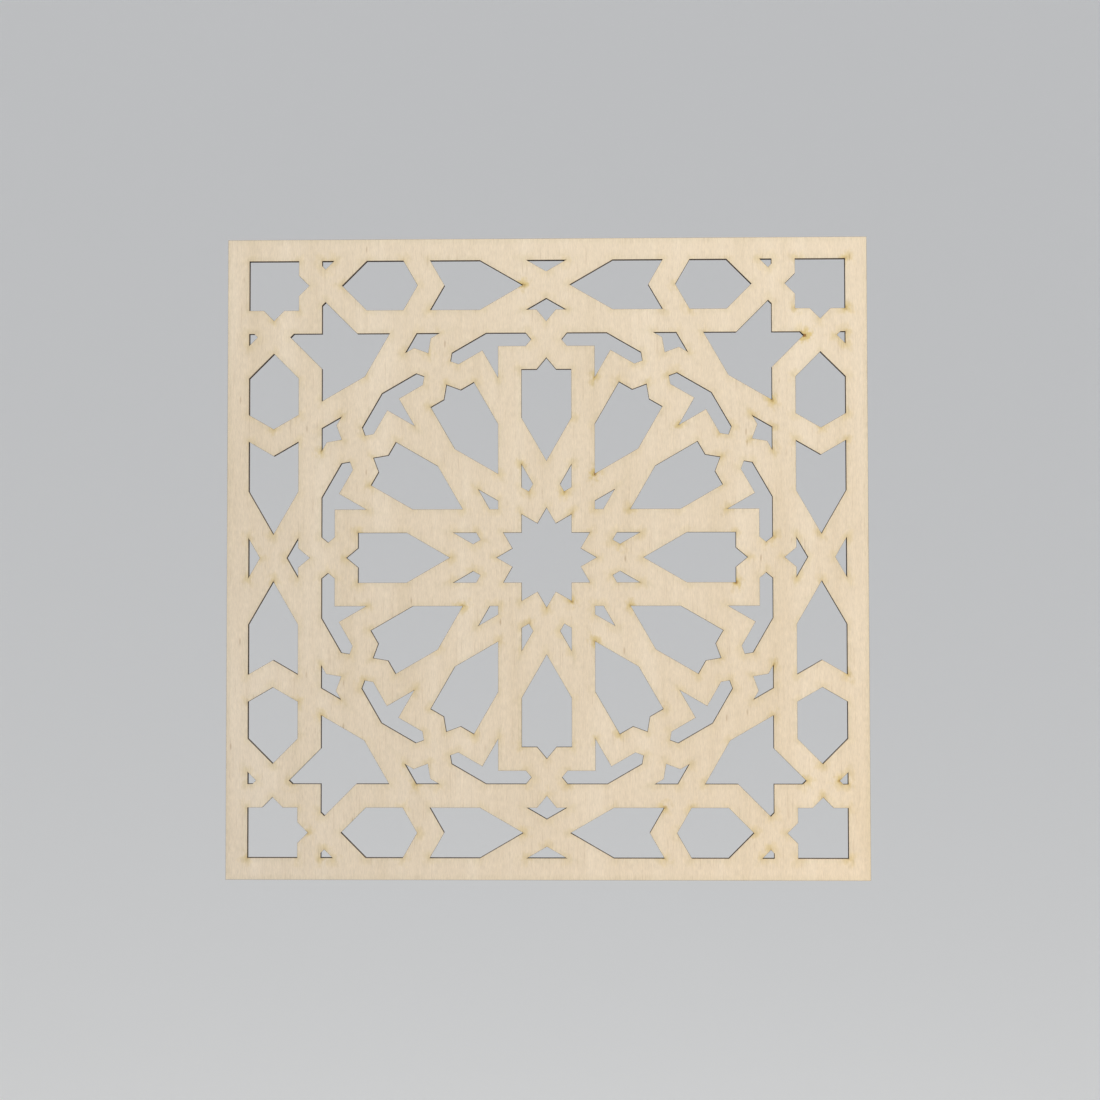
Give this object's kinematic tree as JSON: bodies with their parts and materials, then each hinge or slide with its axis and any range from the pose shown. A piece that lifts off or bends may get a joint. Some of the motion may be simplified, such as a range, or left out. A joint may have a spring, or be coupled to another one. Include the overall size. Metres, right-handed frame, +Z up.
{
  "type": "decorative fretwork panel",
  "caption": "Square laser-cut plywood panel pierced with a geometric rosette-and-star strapwork pattern inside a plain border, for a wall, screen, door or facade.",
  "frame": {"origin": "on the flat back face, at the middle of the bottom rail", "axes": "+Z up the panel, +Y out of the back face towards what the panel is fixed to, face towards -Y"},
  "size_m": [0.3, 0.003, 0.3],
  "materials": {
    "birch_plywood": "pale birch plywood, sanded and unfinished, with laser-browned cut edges"
  },
  "bodies": {
    "root": {"fretwork_panel": "birch_plywood"}
  },
  "joints": []
}
